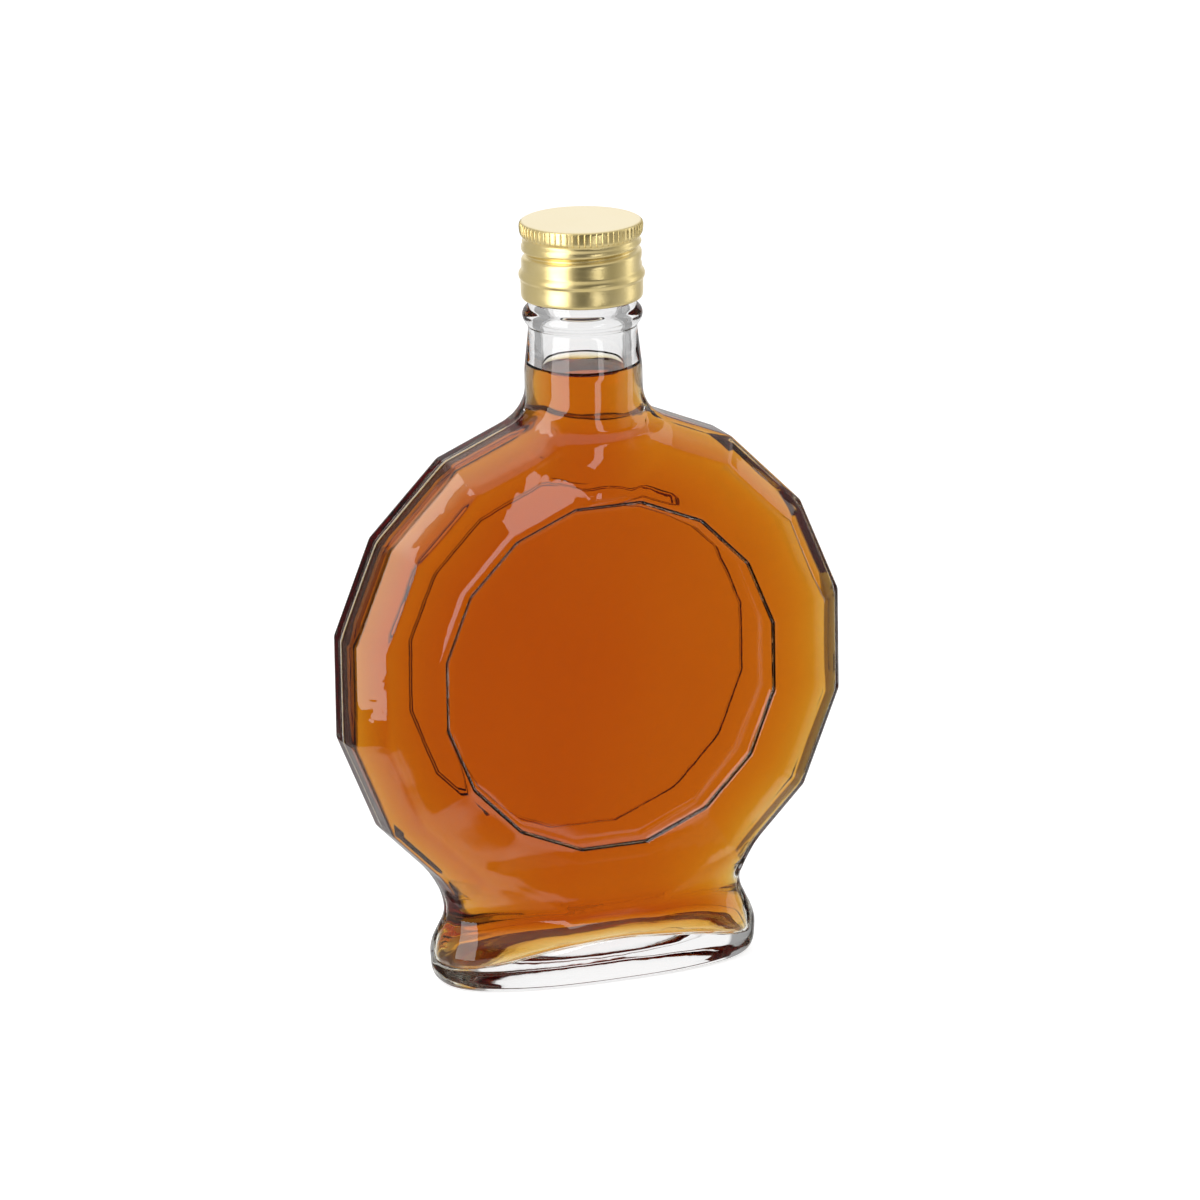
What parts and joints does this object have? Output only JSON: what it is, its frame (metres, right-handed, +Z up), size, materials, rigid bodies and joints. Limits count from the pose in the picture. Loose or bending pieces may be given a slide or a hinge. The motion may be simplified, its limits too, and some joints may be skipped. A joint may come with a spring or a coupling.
{
  "type": "glass bottle of drink",
  "caption": "Flat round glass bottle of amber drink, with faceted faces, an oval foot and a rolled-on metal screw cap.",
  "frame": {"origin": "underside of the foot, at the middle of the whole object's outline", "axes": "+Z up along the neck, X across the wide face, -Y out of the front face"},
  "size_m": [0.12, 0.0342, 0.1762],
  "materials": {
    "clear_glass": "clear, glossy",
    "drink": "clear amber liquid",
    "gold_aluminium": "satin gold lacquer"
  },
  "bodies": {
    "root": {"bottle_glass": "clear_glass", "drink": "drink", "screw_cap": "gold_aluminium"}
  },
  "joints": []
}
